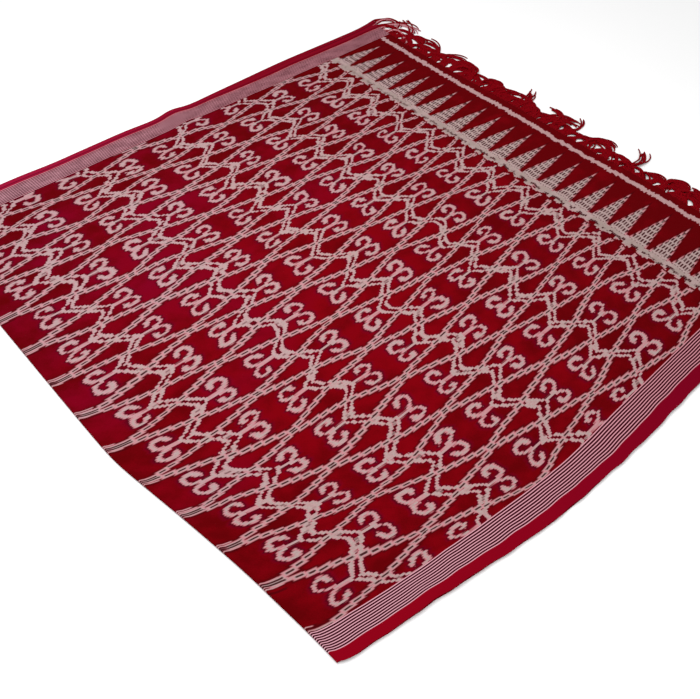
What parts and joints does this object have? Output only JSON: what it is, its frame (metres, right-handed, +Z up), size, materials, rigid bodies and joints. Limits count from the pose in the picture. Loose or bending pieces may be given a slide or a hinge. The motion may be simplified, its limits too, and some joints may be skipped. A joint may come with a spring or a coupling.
{
  "type": "ikat woven cloth, folded in half",
  "caption": "Crimson warp ikat cotton cloth with pale lattice, hook and triangle motifs, folded in half and laid flat, with a loose fringe along its joined ends.",
  "frame": {"origin": "middle of the base of the laid cloth with its fringe", "axes": "+Z up, +Y along the warp from the fold to the fringe, +X across the cloth to its right selvedge"},
  "size_m": [1.025, 1.0934, 0.0092],
  "materials": {
    "woven_cotton": "matt hand-woven cotton, crimson ground with pale resist-dyed motifs",
    "fringe_yarn": "loose matt cotton yarn, crimson with some pale pink ends"
  },
  "bodies": {
    "root": {"cloth": "woven_cotton", "fringe_lower": "fringe_yarn", "fringe_upper": "fringe_yarn"}
  },
  "joints": []
}
